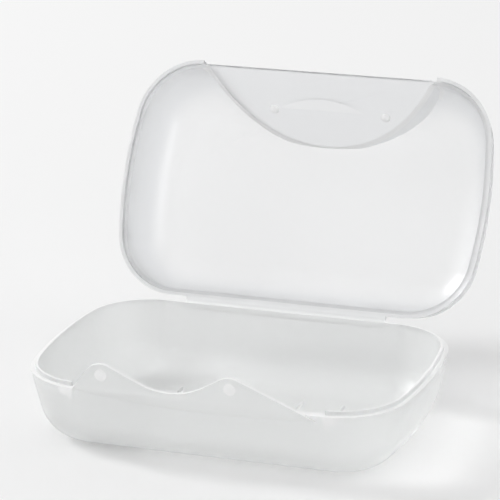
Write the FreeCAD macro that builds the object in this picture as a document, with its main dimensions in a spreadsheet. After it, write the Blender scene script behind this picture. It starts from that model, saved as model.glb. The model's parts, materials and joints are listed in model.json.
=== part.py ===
"""Travel soap box: a frosted polypropylene clamshell of two dished halves on a living hinge.

Frame: the origin is the centre of the tray's flat underside, +X to the right, +Y towards the hinge, +Z up.
The lid is drawn shut in its own frame, whose origin is on the hinge line, and its placement swings it open.
"""
import FreeCAD, Part
import math
import os

SIZES = [
    # outline that both halves share at the rim
    ("rim_length", 110.0),
    ("rim_depth", 69.6),
    ("corner_radius", 19.0),
    ("end_radius", 130.0),
    # tray
    ("tray_height", 20.5),
    ("tray_draft", 12.0),
    ("tray_round", 12.5),
    ("floor_thickness", 2.4),
    ("lip_thickness", 0.8),
    ("lip_height", 1.15),
    # drain ribs on the tray's floor
    ("rib_count", 5),
    ("rib_pitch", 12.0),
    ("rib_length", 30.0),
    ("rib_width", 2.4),
    ("rib_height", 1.2),
    # snap tab on the tray's front
    ("tab_left_reach", 35.0),
    ("tab_right_reach", 33.5),
    ("tab_right_drop", 1.4),
    ("tab_thickness", 1.2),
    ("tab_proud", 0.5),
    ("tab_skirt", 1.9),
    ("hump_spacing", 36.5),
    ("hump_shift", -8.2),
    ("hump_rise", 7.95),
    ("hump_round", 5.0),
    ("valley_shift", -7.5),
    ("valley_rise", 1.75),
    ("valley_round", 20.0),
    ("dimple_drop", 3.1),
    ("dimple_radius", 1.7),
    ("dimple_depth", 0.55),
    ("bump_height", 0.3),
    # lid
    ("lid_height", 18.0),
    ("lid_wall", 1.0),
    ("lid_draft", 9.0),
    ("lid_round", 13.0),
    ("rim_gap", 0.3),
    ("fit_gap", 0.3),
    ("tab_gap", 0.4),
    # half-moon thumb well in the lid's front
    ("notch_clearance", 0.4),
    ("well_margin", 1.4),
    ("well_reach", 18.4),
    ("ramp_angle", 41.5),
    ("well_chamfer", 0.5),
    ("pip_spacing", 34.0),
    ("pip_shift", 2.2),
    ("pip_distance", 13.4),
    ("pip_radius", 1.5),
    ("pip_height", 1.0),
    ("scoop_radius", 25.0),
    ("scoop_sagitta", 3.5),
    ("scoop_relief", 0.5),
    ("scoop_distance", 9.2),
    # living hinge
    ("hinge_reach", 1.5),
    ("hinge_width", 60.0),
    ("land_thickness", 1.2),
    ("film_half_span", 0.75),
    ("film_thickness", 0.35),
    ("open_angle", 118.75),
]

# sizes that follow from the driving ones
TRAY_WALL = "(sizes.lid_wall + sizes.fit_gap + sizes.lip_thickness)"
LIP_TOP = "(sizes.tray_height + sizes.lip_height)"
HINGE_Y = "(sizes.rim_depth / 2 + sizes.hinge_reach)"
HINGE_Z = "(sizes.tray_height + sizes.rim_gap / 2)"
TAB_FACE = "(sizes.rim_depth / 2 + sizes.tab_proud)"
FRONT_EDGE = "(%s - sizes.tab_thickness - sizes.tab_gap)" % TAB_FACE
NOTCH_HALF = "(max(sizes.tab_left_reach; sizes.tab_right_reach) + sizes.notch_clearance)"
WELL_CHORD = "(%s - sizes.well_margin)" % NOTCH_HALF
REBATE_DEPTH = "(sizes.lip_height + sizes.fit_gap - sizes.rim_gap)"
LID_DEPTH = "(sizes.lid_height - sizes.lid_wall)"

X_AXIS = FreeCAD.Vector(1, 0, 0)
CLEAR = 5.0  # how far a cutting outline runs on into the open
ON_FACE = 1e-4  # how near to a face a point counts as lying on it
EDGE_SAMPLES = 7

doc = FreeCAD.newDocument("travel_soap_box")
sheet = doc.addObject("Spreadsheet::Sheet", "sizes")
for row, (alias, number) in enumerate(SIZES, start=1):
    sheet.set("A%d" % row, alias)
    sheet.set("B%d" % row, str(number))
    sheet.setAlias("B%d" % row, alias)
doc.recompute()


def value(expression):
    """Number that an expression over the sheet comes to."""
    return float(sheet.evalExpression(expression))


def bind(item, **expressions):
    """Tie properties to the sheet; a double underscore in a name stands for a dot."""
    for name, expression in expressions.items():
        item.setExpression(name.replace("__", "."), str(expression))


def vec(x, y):
    return FreeCAD.Vector(x, y, 0)


def origin_plane(body, role):
    return next(item for item in body.Origin.OriginFeatures if item.Role == role)


def new_sketch(body, name, role, **offsets):
    """Empty sketch on one of the body's own planes, moved by the given expressions."""
    sketch = body.newObject("Sketcher::SketchObject", name)
    sketch.AttachmentSupport = [(origin_plane(body, role), "")]
    sketch.MapMode = "FlatFace"
    bind(sketch, **{"AttachmentOffset__Base__" + axis: text for axis, text in offsets.items()})
    return sketch


def arc(centre, radius, start, end):
    circle = Part.Circle(centre, FreeCAD.Vector(0, 0, 1), radius)
    return Part.ArcOfCircle(circle, start, end)


def rim_outline(sketch, inset):
    """Rounded oblong with straight long sides and bowed ends, inset evenly from the rim's outer edge."""
    inset = value(inset)
    depth = value("sizes.rim_depth / 2")
    round_ = value("sizes.corner_radius")
    bow = value("sizes.end_radius")
    bow_x = value("sizes.rim_length / 2") - bow
    corner_y = depth - round_
    corner_x = bow_x + math.sqrt((bow - round_) ** 2 - corner_y ** 2)
    swing = math.atan2(corner_y, corner_x - bow_x)
    side = depth - inset
    right, up, left, down = 0.0, math.pi / 2, math.pi, 3 * math.pi / 2
    sketch.addGeometry([
        Part.LineSegment(vec(-corner_x, -side), vec(corner_x, -side)),
        arc(vec(corner_x, -corner_y), round_ - inset, -up, -swing),
        arc(vec(bow_x, 0), bow - inset, -swing, swing),
        arc(vec(corner_x, corner_y), round_ - inset, swing, up),
        Part.LineSegment(vec(corner_x, side), vec(-corner_x, side)),
        arc(vec(-corner_x, corner_y), round_ - inset, up, left - swing),
        arc(vec(-bow_x, 0), bow - inset, left - swing, left + swing),
        arc(vec(-corner_x, -corner_y), round_ - inset, left + swing, down),
    ], False)


def rectangle(sketch, x_low, x_high, y_low, y_high):
    corners = [vec(x_low, y_low), vec(x_high, y_low), vec(x_high, y_high), vec(x_low, y_high)]
    sketch.addGeometry(
        [Part.LineSegment(a, b) for a, b in zip(corners, corners[1:] + corners[:1])], False)


def flat_edges(feature, height):
    """Names of the edges that lie in the level plane at this height."""
    names = []
    for index, edge in enumerate(feature.Shape.Edges, start=1):
        box = edge.BoundBox
        if max(abs(box.ZMin - height), abs(box.ZMax - height)) < ON_FACE:
            names.append("Edge%d" % index)
    return names


def round_edges(body, name, feature, height, radius):
    doc.recompute()
    fillet = body.newObject("PartDesign::Fillet", name)
    fillet.Base = (feature, flat_edges(feature, height))
    bind(fillet, Radius=radius)
    return fillet


def prism(body, kind, name, sketch, length, down=False, taper=None):
    """Pad or pocket of a sketch."""
    feature = body.newObject("PartDesign::" + kind, name)
    feature.Profile = sketch
    feature.Reversed = down
    bind(feature, Length=length)
    if taper:
        bind(feature, TaperAngle=taper)
    return feature


def tangent(centre_a, round_a, centre_b, round_b):
    """Ends of the line that touches two circles; a crest's radius is positive and a hollow's negative."""
    reach = centre_b - centre_a
    heading = math.atan2(reach.y, reach.x) - math.asin((round_a - round_b) / reach.Length)
    normal = vec(-math.sin(heading), math.cos(heading))
    return centre_a + normal * round_a, centre_b + normal * round_b


def tab_outline(sketch):
    """Front view of the snap tab: two humps with a valley between, on a skirt that sags below the rim."""
    half_spacing = value("sizes.hump_spacing / 2")
    crest = value("sizes.hump_round")
    hollow = -value("sizes.valley_round")
    crest_z = value("sizes.hump_rise") - crest
    left_foot = vec(-value("sizes.tab_left_reach"), 0)
    right_foot = vec(value("sizes.tab_right_reach"), -value("sizes.tab_right_drop"))
    circles = [
        (left_foot, 0),
        (vec(value("sizes.hump_shift") - half_spacing, crest_z), crest),
        (vec(value("sizes.valley_shift"), value("sizes.valley_rise") - hollow), hollow),
        (vec(value("sizes.hump_shift") + half_spacing, crest_z), crest),
        (right_foot, 0),
    ]
    lines = [tangent(*first, *second) for first, second in zip(circles, circles[1:])]
    for start, end in lines:
        sketch.addGeometry(Part.LineSegment(start, end), False)
    for (centre, round_), before, after in zip(circles[1:-1], lines, lines[1:]):
        sketch.addGeometry(Part.Arc(before[1], centre + vec(0, round_), after[0]), False)
    skirt = (left_foot + right_foot) * 0.5 - vec(0, value("sizes.tab_skirt"))
    sketch.addGeometry(Part.Arc(right_foot, skirt, left_foot), False)


def add_ribs(body):
    """Row of low drain ribs across the tray's floor."""
    half_width = value("sizes.rib_width / 2")
    half_length = value("sizes.rib_length / 2") - half_width
    row_half = "sizes.rib_pitch * (sizes.rib_count - 1) / 2"
    slot = new_sketch(body, "RibOutline", "XY_Plane", x="-" + row_half, z="sizes.floor_thickness")
    slot.addGeometry([
        Part.LineSegment(vec(half_width, -half_length), vec(half_width, half_length)),
        arc(vec(0, half_length), half_width, 0, math.pi),
        Part.LineSegment(vec(-half_width, half_length), vec(-half_width, -half_length)),
        arc(vec(0, -half_length), half_width, math.pi, 2 * math.pi),
    ], False)
    rib = prism(body, "Pad", "Rib", slot, "sizes.rib_height")
    ribs = body.newObject("PartDesign::LinearPattern", "Ribs")
    ribs.Originals = [rib]
    ribs.Direction = (slot, ["H_Axis"])
    bind(ribs, Length="2 * " + row_half, Occurrences="sizes.rib_count")
    body.Tip = ribs


def add_tab(body):
    """Snap tab that stands proud of the rim; each hump has a dimple outside and a bump inside."""
    lip_gap = new_sketch(body, "LipGapOutline", "XY_Plane", z=LIP_TOP)
    half_gap = value(NOTCH_HALF + " + sizes.fit_gap")
    rectangle(lip_gap, -half_gap, half_gap, -value("sizes.rim_depth / 2"),
              -value("sizes.rim_depth / 2 - " + TRAY_WALL) + CLEAR)
    prism(body, "Pocket", "LipGap", lip_gap, "sizes.lip_height")

    outline = new_sketch(body, "TabOutline", "XZ_Plane", y="sizes.tray_height", z=TAB_FACE)
    tab_outline(outline)
    prism(body, "Pad", "Tab", outline, "sizes.tab_thickness", True)

    cap = "((sizes.dimple_radius ^ 2 + sizes.dimple_depth ^ 2) / (2 * sizes.dimple_depth))"
    for side, sign in (("Left", "-"), ("Right", "+")):
        across = "sizes.hump_shift %s sizes.hump_spacing / 2" % sign
        level = "sizes.tray_height + sizes.hump_rise - sizes.dimple_drop"
        bump = body.newObject("PartDesign::AdditiveEllipsoid", "Bump" + side)
        bind(bump, Radius1="sizes.dimple_radius", Radius2="sizes.dimple_radius",
             Radius3="sizes.tab_thickness / 2 + sizes.bump_height", Placement__Base__x=across,
             Placement__Base__y="sizes.tab_thickness / 2 - " + TAB_FACE, Placement__Base__z=level)
        dimple = body.newObject("PartDesign::SubtractiveSphere", "Dimple" + side)
        bind(dimple, Radius=cap, Placement__Base__x=across, Placement__Base__z=level,
             Placement__Base__y="sizes.dimple_depth - %s - %s" % (TAB_FACE, cap))


def make_tray():
    body = doc.addObject("PartDesign::Body", "Tray")
    body.Label = "tray"

    outline = new_sketch(body, "TrayOutline", "XY_Plane", z="sizes.tray_height")
    rim_outline(outline, "0")
    prism(body, "Pad", "TrayBlock", outline, "sizes.tray_height", True, "-sizes.tray_draft")

    lip = new_sketch(body, "LipOutline", "XY_Plane", z="sizes.tray_height")
    rim_outline(lip, "sizes.lid_wall + sizes.fit_gap")
    prism(body, "Pad", "Lip", lip, "sizes.lip_height", False, "-sizes.lid_draft")

    mouth = new_sketch(body, "MouthOutline", "XY_Plane", z=LIP_TOP)
    rim_outline(mouth, TRAY_WALL)
    cavity = prism(body, "Pocket", "Cavity", mouth, LIP_TOP + " - sizes.floor_thickness", False,
                   "-sizes.tray_draft")
    hollow = round_edges(body, "CavityRound", cavity, value("sizes.floor_thickness"),
                         "sizes.tray_round - " + TRAY_WALL)
    round_edges(body, "TrayRound", hollow, 0, "sizes.tray_round")

    land = new_sketch(body, "TrayLandOutline", "XY_Plane", z="sizes.tray_height")
    half_width = value("sizes.hinge_width / 2")
    rectangle(land, -half_width, half_width, value("(sizes.rim_depth - %s) / 2" % TRAY_WALL),
              value(HINGE_Y + " - sizes.film_half_span"))
    prism(body, "Pad", "TrayLand", land, "sizes.land_thickness", True)

    add_ribs(body)
    add_tab(body)
    return body


def dish(name, inset, height, draft=None, round_=None):
    """Solid that follows the shut lid's rim, in the lid's own frame, drafted and rounded if asked."""
    body = doc.addObject("PartDesign::Body", name)
    outline = new_sketch(body, name + "Outline", "XY_Plane", y="-" + HINGE_Y, z="sizes.rim_gap / 2")
    rim_outline(outline, inset)
    block = prism(body, "Pad", name + "Block", outline, height, taper=draft)
    if round_:
        round_edges(body, name + "Round", block, value("sizes.rim_gap / 2 + " + height), round_)
    return body


def join(kind, name, base, tool):
    """Boolean of two solids: Cut, Fuse or Common."""
    result = doc.addObject("Part::" + kind, name)
    result.Base = base
    result.Tool = tool
    return result


def block(name, x_low, x_high, y_low, y_high, z_low, z_high):
    """Box between two corners that are given as expressions."""
    box = doc.addObject("Part::Box", name)
    bind(box, Length="(%s) - (%s)" % (x_high, x_low), Width="(%s) - (%s)" % (y_high, y_low),
         Height="(%s) - (%s)" % (z_high, z_low), Placement__Base__x=x_low, Placement__Base__y=y_low,
         Placement__Base__z=z_low)
    return box


# ramp of the thumb well: it rises from the lid's front edge, which is a point in the lid's own Y and Z
EDGE_Y = "(-%s - %s)" % (HINGE_Y, FRONT_EDGE)
EDGE_Z = "(sizes.rim_gap / 2)"
RAMP_COS = "cos(sizes.ramp_angle)"
RAMP_SIN = "sin(sizes.ramp_angle)"
WELL_RADIUS = "((%s ^ 2 + sizes.well_reach ^ 2) / (2 * sizes.well_reach))" % WELL_CHORD


def ramp_y(along, lift):
    """Y of a point that lies this far up the ramp and this far out of its inner face."""
    return "%s + (%s) * %s - (%s) * %s" % (EDGE_Y, along, RAMP_COS, lift, RAMP_SIN)


def ramp_z(along, lift):
    """Z of that point."""
    return "%s + (%s) * %s + (%s) * %s" % (EDGE_Z, along, RAMP_SIN, lift, RAMP_COS)


def ramp_block(name, half_width, along_low, along_high, lift_low, lift_high):
    """Box set square to the ramp, by distances up the ramp and out of its inner face."""
    box = doc.addObject("Part::Box", name)
    box.Placement = FreeCAD.Placement(FreeCAD.Vector(), FreeCAD.Rotation(X_AXIS, value("sizes.ramp_angle")))
    bind(box, Length="2 * (%s)" % half_width, Width="(%s) - (%s)" % (along_high, along_low),
         Height="(%s) - (%s)" % (lift_high, lift_low), Placement__Base__x="-(%s)" % half_width,
         Placement__Base__y=ramp_y(along_low, lift_low), Placement__Base__z=ramp_z(along_low, lift_low),
         Placement__Rotation__Angle="sizes.ramp_angle")
    return box


def well_cylinder(name, radius):
    """Upright cylinder whose edge draws the half-moon in plan."""
    cylinder = doc.addObject("Part::Cylinder", name)
    bind(cylinder, Radius=radius, Height="2 * sizes.lid_height", Placement__Base__z="-sizes.lid_height / 2",
         Placement__Base__y="%s + sizes.well_reach - %s" % (EDGE_Y, WELL_RADIUS))
    return cylinder


def chamfer_well(name, base, lift, wall):
    """Bevel the curved edge in which the ramp's face at this lift meets the well's side, wall thick."""
    doc.recompute()
    axis_y = value("%s + sizes.well_reach - %s" % (EDGE_Y, WELL_RADIUS))
    radius = value("%s + %s" % (WELL_RADIUS, wall))
    foot = FreeCAD.Vector(0, value(ramp_y("0", lift)), value(ramp_z("0", lift)))
    normal = FreeCAD.Vector(0, -value(RAMP_SIN), value(RAMP_COS))
    picked = []
    for index, edge in enumerate(base.Shape.Edges, start=1):
        points = edge.discretize(EDGE_SAMPLES)
        off_ramp = max(abs((point - foot).dot(normal)) for point in points)
        off_side = max(abs(math.hypot(point.x, point.y - axis_y) - radius) for point in points)
        if max(off_ramp, off_side) < ON_FACE:
            picked.append(index)
    size = value("sizes.well_chamfer + (2 - sqrt(2)) * " + wall)
    chamfer = doc.addObject("Part::Chamfer", name)
    chamfer.Base = base
    chamfer.Edges = [(index, size, size) for index in picked]
    return chamfer


def scoop_wedge(name, lift):
    """Thumb scoop: a sliver that is sharp along an arc near the front edge and fades up the ramp."""
    tilt = "atan(sizes.scoop_relief / sizes.scoop_sagitta) / 1 deg"
    slope = "(sizes.ramp_angle - %s)" % tilt
    height = "4 * sizes.lid_wall"
    disc = doc.addObject("Part::Cylinder", name + "Disc")
    disc.Placement = FreeCAD.Placement(FreeCAD.Vector(), FreeCAD.Rotation(X_AXIS, value(slope)))
    crest = "(%s) + sizes.scoop_relief" % lift
    bind(disc, Radius="sizes.scoop_radius", Height=height, Placement__Rotation__Angle=slope,
         Placement__Base__y="%s + sizes.scoop_radius * cos(%s) + %s * sin(%s)"
         % (ramp_y("sizes.scoop_distance", crest), slope, height, slope),
         Placement__Base__z="%s + sizes.scoop_radius * sin(%s) - %s * cos(%s)"
         % (ramp_z("sizes.scoop_distance", crest), slope, height, slope))
    window = ramp_block(name + "Window", "sizes.scoop_radius", "sizes.scoop_distance - sizes.scoop_relief",
                        "sizes.scoop_distance + sizes.scoop_sagitta", lift, crest)
    return join("Common", name, disc, window)


def make_lid():
    draft = "-sizes.lid_draft"
    outside = dish("LidOutside", "0", "sizes.lid_height", draft, "sizes.lid_round")
    hollow = dish("LidHollow", "sizes.lid_wall", LID_DEPTH, draft, "sizes.lid_round - sizes.lid_wall")
    mouth = dish("LidMouth", TRAY_WALL, "sizes.lid_height")
    rebate = dish("LidRebate", "sizes.lid_wall", REBATE_DEPTH, draft)
    lid = join("Cut", "LidShell", outside, join("Common", "LidInside", hollow, mouth))
    lid = join("Cut", "LidRim", lid, rebate)

    beneath = "-sizes.rim_length"
    far = "sizes.rim_length"
    under_inner = ramp_block("UnderRamp", far, beneath, far, beneath, "0")
    under_outer = ramp_block("UnderRampOuter", far, beneath, far, beneath, "sizes.lid_wall")
    boss = join("Cut", "WellBlank", well_cylinder("WellWall", WELL_RADIUS + " + sizes.lid_wall"), under_inner)
    boss = chamfer_well("WellBlankChamfer", boss, "0", "sizes.lid_wall")
    boss = join("Common", "WellBoss", outside, boss)
    well = join("Cut", "Well", well_cylinder("WellHollow", WELL_RADIUS), under_outer)
    well = chamfer_well("WellChamfer", well, "sizes.lid_wall", "0")
    lid = join("Fuse", "LidWithBoss", lid, boss)
    lid = join("Cut", "LidWithWell", lid, well)

    notch = block("FrontNotch", "-" + NOTCH_HALF, NOTCH_HALF,
                  "%s - sizes.rim_depth" % EDGE_Y, EDGE_Y, "-sizes.lid_height", "2 * sizes.lid_height")
    lid = join("Cut", "LidNotched", lid, notch)

    for side, sign in (("Left", "-"), ("Right", "+")):
        ball = doc.addObject("Part::Sphere", "PipBall" + side)
        sunk = "sizes.pip_radius - sizes.pip_height"
        across = "sizes.pip_shift %s sizes.pip_spacing / 2" % sign
        bind(ball, Radius="sizes.pip_radius", Placement__Base__x=across,
             Placement__Base__y=ramp_y("sizes.pip_distance", sunk),
             Placement__Base__z=ramp_z("sizes.pip_distance", sunk))
        pip = join("Common", "Pip" + side, ball, under_outer)
        lid = join("Fuse", "LidPip" + side, lid, pip)

    lid = join("Fuse", "LidScoopOut", lid, scoop_wedge("ScoopGrip", "sizes.lid_wall"))
    lid = join("Cut", "LidScoopIn", lid, scoop_wedge("ScoopHollow", "0"))

    land = block("LidLand", "-sizes.hinge_width / 2", "sizes.hinge_width / 2",
                 "-sizes.hinge_reach - sizes.lid_wall / 2", "-sizes.film_half_span",
                 EDGE_Z, EDGE_Z + " + sizes.land_thickness")
    lid = join("Fuse", "Lid", lid, land)
    lid.Label = "lid"
    lid.Placement = FreeCAD.Placement(FreeCAD.Vector(), FreeCAD.Rotation(-X_AXIS, value("sizes.open_angle")))
    bind(lid, Placement__Base__y=HINGE_Y, Placement__Base__z=HINGE_Z)
    return lid


def make_hinge():
    """Thin film from the tray's land round to the lid's, as it bends at the rest angle."""
    body = doc.addObject("PartDesign::Body", "LivingHinge")
    body.Label = "living_hinge"
    half_span = value("sizes.film_half_span")
    half_open = math.radians(value("sizes.open_angle / 2"))
    centre = vec(-half_span, half_span * math.tan(half_open))
    bend = centre.y + value("(sizes.rim_gap + sizes.film_thickness) / 2")
    half_film = value("sizes.film_thickness / 2")
    start, end = -math.pi / 2, math.pi / 2 - 2 * half_open
    outline = new_sketch(body, "FilmOutline", "YZ_Plane", x=HINGE_Y, y=HINGE_Z)
    inner = arc(centre, bend - half_film, start, end)
    outer = arc(centre, bend + half_film, start, end)
    outline.addGeometry([
        inner,
        Part.LineSegment(inner.EndPoint, outer.EndPoint),
        outer,
        Part.LineSegment(outer.StartPoint, inner.StartPoint),
    ], False)
    film = prism(body, "Pad", "Film", outline, "sizes.hinge_width")
    film.Midplane = True
    return body


def check(pieces):
    """Stop if any object failed, or a piece isn't one valid solid."""
    for item in doc.Objects:
        if "Invalid" in item.State or "Error" in item.State:
            raise RuntimeError("%s failed: %s" % (item.Name, item.State))
    for piece in pieces:
        if piece.Shape.isNull() or not piece.Shape.isValid() or len(piece.Shape.Solids) != 1:
            raise RuntimeError("%s isn't one valid solid" % piece.Label)


pieces = [make_tray(), make_lid(), make_hinge()]
doc.recompute()
check(pieces)
os.makedirs("parts", exist_ok=True)
for piece in pieces:
    piece.Shape.exportStep("parts/%s.step" % piece.Label)
    print("%s: %.0f mm3" % (piece.Label, piece.Shape.Volume))
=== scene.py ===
"""Travel soap box of frosted polypropylene, open on its living hinge, on a pale studio floor."""
import json
import math

import bpy
from mathutils import Matrix, Vector


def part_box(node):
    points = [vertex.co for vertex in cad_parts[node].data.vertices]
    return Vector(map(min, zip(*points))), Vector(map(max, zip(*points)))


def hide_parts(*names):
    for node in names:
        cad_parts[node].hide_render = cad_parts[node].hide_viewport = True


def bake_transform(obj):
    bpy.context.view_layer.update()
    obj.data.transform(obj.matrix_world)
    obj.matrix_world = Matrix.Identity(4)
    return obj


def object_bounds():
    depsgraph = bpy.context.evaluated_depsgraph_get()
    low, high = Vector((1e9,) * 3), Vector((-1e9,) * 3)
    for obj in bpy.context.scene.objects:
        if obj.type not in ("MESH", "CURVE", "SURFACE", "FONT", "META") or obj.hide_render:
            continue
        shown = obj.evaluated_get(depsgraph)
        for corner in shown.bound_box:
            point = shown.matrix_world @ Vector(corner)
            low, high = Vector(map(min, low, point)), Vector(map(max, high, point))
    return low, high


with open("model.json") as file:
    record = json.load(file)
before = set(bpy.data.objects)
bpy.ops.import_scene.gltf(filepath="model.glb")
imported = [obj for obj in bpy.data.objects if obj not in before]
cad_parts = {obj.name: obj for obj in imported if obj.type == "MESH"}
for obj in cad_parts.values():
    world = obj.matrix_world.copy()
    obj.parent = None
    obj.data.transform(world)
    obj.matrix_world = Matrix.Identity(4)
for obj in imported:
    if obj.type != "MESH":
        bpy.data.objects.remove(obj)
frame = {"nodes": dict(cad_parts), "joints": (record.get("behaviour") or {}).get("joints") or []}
cad_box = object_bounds()

MM = 0.001

# hinge: its line, how far the lid stands open, and the turn that shuts it
joint = frame["joints"][0]
HINGE_LINE = Vector(joint["pos_m"])
OPENING = -math.radians(joint["range_deg"][0])
SHUTTING = Matrix.Rotation(OPENING, 3, "X")

# camera at the photograph's viewing angle, worked out from the two rims
CAMERA_AZIMUTH = math.radians(20.45)
CAMERA_ELEVATION = math.radians(19.18)
CAMERA_ROLL = math.radians(-1.47)
CAMERA_DISTANCE = 798.4 * MM
CAMERA_TARGET = Vector((1.03, 7.09, 48.99)) * MM
CAMERA_LENS = 210.96
CAMERA_SENSOR = 36.0
CAMERA_REACH = 50.0

# studio: floor, light from all round at either side, and what the lamps are aimed at
FLOOR_REACH = 6.0
FLOOR_DROP = 0.02 * MM
FLOOR_WHITE = (0.87, 0.87, 0.87, 1.0)
LEFT_STRENGTH = 0.71
RIGHT_STRENGTH = 0.87
LIGHT_AIM = Vector((0, 30, 35)) * MM

# frosted polypropylene: refraction, and the unevenness of its frosting
PLASTIC_IOR = 1.49
GRAIN_SCALE = 260.0
GRAIN_DETAIL = 3.0
GRAIN_SPREAD = 0.04

# places of a moulded half's materials: face, painted edge (painted highlight on the tray, painted grey
# shade on the lid's rim), painted shade on the lid's ledge, painted highlight on the lid's pips and well
# border
FACE, PAINTED_EDGE, PAINTED_LEDGE_SHADE, PAINTED_GLINT = range(4)

# tray: top of the rim, and the snap tab, whose face is the front of the whole box
RIM_GAP = 0.3 * MM
TRAY_RIM = HINGE_LINE.z - RIM_GAP / 2
TAB_THICKNESS = 1.2 * MM
TAB_FACE = cad_box[0][1]
TAB_BACK = TAB_FACE + TAB_THICKNESS
TAB_DROP = 3.0 * MM
DIMPLE_START = 0.02 * MM

# lid, from the hinge line when shut: rim, ledge and front edge
LID_RIM = 0.6 * MM
LID_LEDGE = 1.4 * MM
LID_WALL = 1.0 * MM
TAB_GAP = 0.4 * MM
LID_FRONT = TAB_BACK + TAB_GAP - HINGE_LINE.y

# thumb well: a ramp from the lid's front edge, inside a round wall
WELL_HALF_CHORD = 34.0 * MM
WELL_REACH = 18.4 * MM
WELL_HOLLOW = (WELL_HALF_CHORD ** 2 + WELL_REACH ** 2) / (2 * WELL_REACH)
WELL_AXIS = LID_FRONT + WELL_REACH - WELL_HOLLOW
WELL_RADIUS = WELL_HOLLOW + LID_WALL
WELL_BEVEL = 1.3 * MM
RAMP_ANGLE = math.radians(41.5)
RAMP_FOOT = Vector((0, LID_FRONT, RIM_GAP / 2))
RAMP_RISE = Vector((0, math.cos(RAMP_ANGLE), math.sin(RAMP_ANGLE)))
RAMP_NORMAL = Vector((0, math.sin(RAMP_ANGLE), -math.cos(RAMP_ANGLE)))

# pips: balls sunk in the ramp, one at either side
PIP_SIDES = (-14.8 * MM, 19.2 * MM)
PIP_DISTANCE = 13.4 * MM
PIP_RADIUS = 1.5 * MM
PIP_SINK = 0.5 * MM
ON_PIP = 0.02 * MM
PIP_MIDDLE = RAMP_FOOT + RAMP_RISE * PIP_DISTANCE - RAMP_NORMAL * PIP_SINK
PIPS = [PIP_MIDDLE + Vector((side, 0, 0)) for side in PIP_SIDES]

# cosines between a face's normal and a direction
ALONG = 0.9
ACROSS = 0.3
BEVEL_LEAN = 0.97
# FACE_LEAN and WALL_LEAN: between them the painted shade of the lid's walls fades out towards the face
FACE_LEAN = 0.99
WALL_LEAN = 0.6

# rounding of the moulded edges
EDGE_ROUND = 0.2 * MM
EDGE_STEPS = 2
EDGE_ANGLE = math.radians(32)
WELD_DISTANCE = 0.002 * MM

# hinge film, and the corners of its section in order
FILM_THICKNESS = 0.35 * MM
FILM_STEPS = 16
FILM_SECTION = (0, 1, 3, 2)


def add_camera():
    """Camera that looks at its target with the photograph's tilt."""
    back = Vector((
        math.sin(CAMERA_AZIMUTH) * math.cos(CAMERA_ELEVATION),
        -math.cos(CAMERA_AZIMUTH) * math.cos(CAMERA_ELEVATION),
        math.sin(CAMERA_ELEVATION),
    ))
    right = (-back).cross(Vector((0, 0, 1))).normalized()
    up = back.cross(right)
    turned_right = right * math.cos(CAMERA_ROLL) + up * math.sin(CAMERA_ROLL)
    turned_up = up * math.cos(CAMERA_ROLL) - right * math.sin(CAMERA_ROLL)
    data = bpy.data.cameras.new("camera")
    data.lens = CAMERA_LENS
    data.sensor_width = CAMERA_SENSOR
    data.clip_end = CAMERA_REACH
    camera = bpy.data.objects.new("camera", data)
    bpy.context.scene.collection.objects.link(camera)
    place = Matrix((turned_right, turned_up, back)).transposed().to_4x4()
    place.translation = CAMERA_TARGET + back * CAMERA_DISTANCE
    camera.matrix_world = place
    bpy.context.scene.camera = camera


def add_floor():
    """Wide matt floor, just below the base of the tray."""
    mesh = bpy.data.meshes.new("floor")
    corners = [(x * FLOOR_REACH, y * FLOOR_REACH, 0) for x, y in ((-1, -1), (1, -1), (1, 1), (-1, 1))]
    mesh.from_pydata(corners, [], [(0, 1, 2, 3)])
    floor = bpy.data.objects.new("floor", mesh)
    floor.location.z = -FLOOR_DROP
    bpy.context.scene.collection.objects.link(floor)
    material = bpy.data.materials.new("floor_white")
    material.use_nodes = True
    shader = material.node_tree.nodes["Principled BSDF"]
    shader.inputs["Base Color"].default_value = FLOOR_WHITE
    shader.inputs["Specular IOR Level"].default_value = 0.0
    mesh.materials.append(material)


def add_world():
    """White light from all round, a little stronger from the right."""
    world = bpy.data.worlds.new("studio")
    bpy.context.scene.world = world
    world.use_nodes = True
    nodes = world.node_tree.nodes
    links = world.node_tree.links
    background = nodes["Background"]
    background.inputs["Color"].default_value = (1.0, 1.0, 1.0, 1.0)
    side = nodes.new("ShaderNodeTexCoord")
    split = nodes.new("ShaderNodeSeparateXYZ")
    fade = nodes.new("ShaderNodeMapRange")
    fade.inputs["From Min"].default_value = -1.0
    fade.inputs["To Min"].default_value = LEFT_STRENGTH
    fade.inputs["To Max"].default_value = RIGHT_STRENGTH
    links.new(side.outputs["Generated"], split.inputs["Vector"])
    links.new(split.outputs["X"], fade.inputs["Value"])
    links.new(fade.outputs["Result"], background.inputs["Strength"])


def add_softbox(name, place, size, power, sheen_only=False):
    """Soft light aimed at the box; a sheen light is kept off matt faces and shows as gloss."""
    data = bpy.data.lights.new(name, "AREA")
    data.shape = "RECTANGLE"
    data.size, data.size_y = size
    data.energy = power
    light = bpy.data.objects.new(name, data)
    bpy.context.scene.collection.objects.link(light)
    light.location = place
    light.rotation_euler = (LIGHT_AIM - Vector(place)).to_track_quat("-Z", "Y").to_euler()
    light.visible_diffuse = not sheen_only
    light.visible_transmission = not sheen_only


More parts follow.
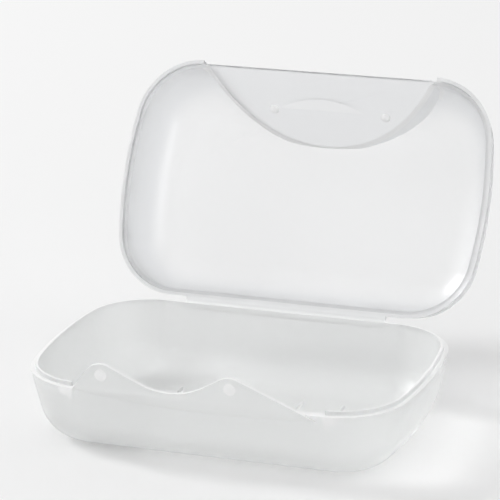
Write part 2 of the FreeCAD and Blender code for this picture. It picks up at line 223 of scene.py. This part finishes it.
def plastic(name, colour, transmission, roughness, clear):
    """Frosted plastic with a faint grain; its shadow lets the share `clear` of the light by."""
    material = bpy.data.materials.new(name)
    material.use_nodes = True
    nodes = material.node_tree.nodes
    links = material.node_tree.links
    shader = nodes["Principled BSDF"]
    shader.inputs["Base Color"].default_value = (*colour, 1.0)
    shader.inputs["IOR"].default_value = PLASTIC_IOR
    shader.inputs["Transmission Weight"].default_value = transmission
    place = nodes.new("ShaderNodeTexCoord")
    grain = nodes.new("ShaderNodeTexNoise")
    grain.inputs["Scale"].default_value = GRAIN_SCALE
    grain.inputs["Detail"].default_value = GRAIN_DETAIL
    spread = nodes.new("ShaderNodeMapRange")
    spread.inputs["To Min"].default_value = roughness - GRAIN_SPREAD
    spread.inputs["To Max"].default_value = roughness + GRAIN_SPREAD
    links.new(place.outputs["Object"], grain.inputs["Vector"])
    links.new(grain.outputs["Fac"], spread.inputs["Value"])
    links.new(spread.outputs["Result"], shader.inputs["Roughness"])
    path = nodes.new("ShaderNodeLightPath")
    share = nodes.new("ShaderNodeMath")
    share.operation = "MULTIPLY"
    share.inputs[1].default_value = clear
    passing = nodes.new("ShaderNodeBsdfTransparent")
    mix = nodes.new("ShaderNodeMixShader")
    links.new(path.outputs["Is Shadow Ray"], share.inputs[0])
    links.new(share.outputs["Value"], mix.inputs["Fac"])
    links.new(shader.outputs["BSDF"], mix.inputs[1])
    links.new(passing.outputs["BSDF"], mix.inputs[2])
    links.new(mix.outputs["Shader"], nodes["Material Output"].inputs["Surface"])
    return material


def paint_wall_shade(material, wall):
    """Painted shade: turn the lid's walls to the colour `wall`, standing in for the grey that their
    greater depth of plastic shows, while its face keeps its own colour.
    """
    nodes = material.node_tree.nodes
    links = material.node_tree.links
    shader = nodes["Principled BSDF"]
    place = nodes.new("ShaderNodeTexCoord")
    lean = nodes.new("ShaderNodeVectorMath")
    lean.operation = "DOT_PRODUCT"
    lean.inputs[1].default_value = SHUTTING.transposed() @ Vector((0, 0, -1))
    either = nodes.new("ShaderNodeMath")
    either.operation = "ABSOLUTE"
    turn = nodes.new("ShaderNodeMapRange")
    turn.interpolation_type = "SMOOTHSTEP"
    turn.inputs["From Min"].default_value = WALL_LEAN
    turn.inputs["From Max"].default_value = FACE_LEAN
    # painted shade colour on the walls, the plastic's own colour on the face
    colour = nodes.new("ShaderNodeMix")
    colour.data_type = "RGBA"
    wall_side, face_side = (socket for socket in colour.inputs if socket.type == "RGBA")
    wall_side.default_value = (*wall, 1.0)
    face_side.default_value = shader.inputs["Base Color"].default_value
    links.new(place.outputs["Normal"], lean.inputs[0])
    links.new(lean.outputs["Value"], either.inputs[0])
    links.new(either.outputs["Value"], turn.inputs["Value"])
    links.new(turn.outputs["Result"], colour.inputs["Factor"])
    mixed = next(socket for socket in colour.outputs if socket.type == "RGBA")
    links.new(mixed, shader.inputs["Base Color"])
    return material


def tray_finish(polygon):
    """Painted highlight on top of the rim and its lip, round the thin edge of the snap tab, and in its
    dimples.
    """
    place = polygon.center
    if polygon.normal.z > ALONG and place.z > TRAY_RIM - EDGE_ROUND:
        return PAINTED_EDGE
    if place.y > TAB_BACK or place.z < TRAY_RIM - TAB_DROP:
        return FACE
    in_dimple = polygon.normal.y < 0 and place.y > TAB_FACE + DIMPLE_START
    return PAINTED_EDGE if abs(polygon.normal.y) < ACROSS or in_dimple else FACE


def lid_finish(polygon):
    """Painted highlight on the pips and the border of the well, and painted grey shade on the rim and
    the ledge behind it.
    """
    place = SHUTTING @ (polygon.center - HINGE_LINE)
    normal = SHUTTING @ polygon.normal
    if min(abs((place - pip).length - PIP_RADIUS) for pip in PIPS) < ON_PIP:
        return PAINTED_GLINT
    if -normal.z > ALONG and place.z < LID_LEDGE:
        return PAINTED_EDGE if place.z < LID_RIM else PAINTED_LEDGE_SHADE
    outward = Vector((place.x, place.y - WELL_AXIS, 0))
    leans = (normal.dot(RAMP_NORMAL), normal.dot(outward.normalized()))
    on_border = abs(outward.length - WELL_RADIUS) < WELL_BEVEL
    return PAINTED_GLINT if on_border and min(leans) > ACROSS and max(leans) < BEVEL_LEAN else FACE


def mould(node, materials, finish):
    """Dress a moulded half: a material for each kind of face, some with painted highlights and painted
    shade, and rounded edges that catch the light.
    """
    piece = frame["nodes"][node]
    piece.data.materials.clear()
    for material in materials:
        piece.data.materials.append(material)
    for polygon in piece.data.polygons:
        polygon.material_index = finish(polygon)
    weld = piece.modifiers.new("weld", "WELD")
    weld.merge_threshold = WELD_DISTANCE
    bevel = piece.modifiers.new("edges", "BEVEL")
    bevel.width = EDGE_ROUND
    bevel.segments = EDGE_STEPS
    bevel.limit_method = "ANGLE"
    bevel.angle_limit = EDGE_ANGLE
    bevel.harden_normals = True
    # the rounded edges take the painted edge: painted highlight on the tray, painted grey shade on the
    # lid
    bevel.material = PAINTED_EDGE


def add_film(material):
    """Hinge film as it bends at rest, from the tray at one end to the lid at the other."""
    low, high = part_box("living_hinge")
    half_span = HINGE_LINE.y - low.y
    centre = HINGE_LINE + Vector((0, -half_span, half_span * math.tan(OPENING / 2)))
    outer = centre.z - low.z
    inner = outer - FILM_THICKNESS
    first_turn = -math.pi / 2
    last_turn = math.pi / 2 - OPENING
    vertices = []
    for step in range(FILM_STEPS + 1):
        turn = first_turn + (last_turn - first_turn) * step / FILM_STEPS
        along = Vector((0, math.cos(turn), math.sin(turn)))
        for radius in (inner, outer):
            for x in (low.x, high.x):
                vertices.append(centre + along * radius + Vector((x - centre.x, 0, 0)))
    corners = len(FILM_SECTION)
    faces = [FILM_SECTION[::-1]]
    for step in range(FILM_STEPS):
        base = corners * step
        for a, b in zip(FILM_SECTION, FILM_SECTION[1:] + FILM_SECTION[:1]):
            faces.append((base + a, base + b, base + corners + b, base + corners + a))
    faces.append([corners * FILM_STEPS + corner for corner in FILM_SECTION])
    mesh = bpy.data.meshes.new("hinge_film")
    mesh.from_pydata(vertices, [], faces)
    mesh.materials.append(material)
    film = bpy.data.objects.new("hinge_film", mesh)
    bpy.context.scene.collection.objects.link(film)
    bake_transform(film)
    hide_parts("living_hinge")


add_camera()
add_floor()
add_world()
add_softbox("key_softbox", place=(-2.15, 0.05, 1.55), size=(0.5, 0.5), power=27.0)
add_softbox("left_sheen", place=(-0.82, 0.08, 0.62), size=(0.12, 0.12), power=1.0, sheen_only=True)
add_softbox("right_sheen", place=(0.77, -0.49, 0.46), size=(0.08, 0.4), power=1.4, sheen_only=True)
add_softbox("top_sheen", place=(-0.33, 0.5, 0.85), size=(0.5, 0.1), power=1.3, sheen_only=True)

# painted highlight: a whiter, less clear plastic that paints bright lines on the tray's rim, tab edge
# and dimples, and on the lid's pips and well border
edge = plastic(
    "painted_highlight_edge", colour=(0.99, 0.99, 0.99), transmission=0.15, roughness=0.33, clear=0.3)
tray_face = plastic(
    "tray_plastic", colour=(0.985, 0.992, 0.99), transmission=0.65, roughness=0.4, clear=0.45)
lid_face = plastic(
    "lid_plastic", colour=(0.985, 0.987, 0.99), transmission=0.9, roughness=0.33, clear=0.45)
# painted shade: a greyer plastic for the lid's rim and its rounded edges
lid_painted_rim_shade = plastic(
    "lid_painted_rim_shade", colour=(0.955, 0.96, 0.965), transmission=0.3, roughness=0.33, clear=0.3)
# painted shade: a still greyer plastic for the ledge behind the lid's rim
lid_painted_ledge_shade = plastic(
    "lid_painted_ledge_shade", colour=(0.92, 0.925, 0.93), transmission=0.5, roughness=0.33, clear=0.3)
film_face = plastic(
    "hinge_film", colour=(0.97, 0.98, 0.98), transmission=0.85, roughness=0.35, clear=0.6)

mould("tray", (tray_face, edge), tray_finish)
# the lid's plastic gets painted shade on its walls; its rim and ledge get painted shade, its pips and
# well border painted highlight
mould("lid", (paint_wall_shade(lid_face, wall=(0.9, 0.908, 0.92)), lid_painted_rim_shade, lid_painted_ledge_shade, edge), lid_finish)
add_film(film_face)

bpy.context.scene.view_settings.view_transform = "Standard"
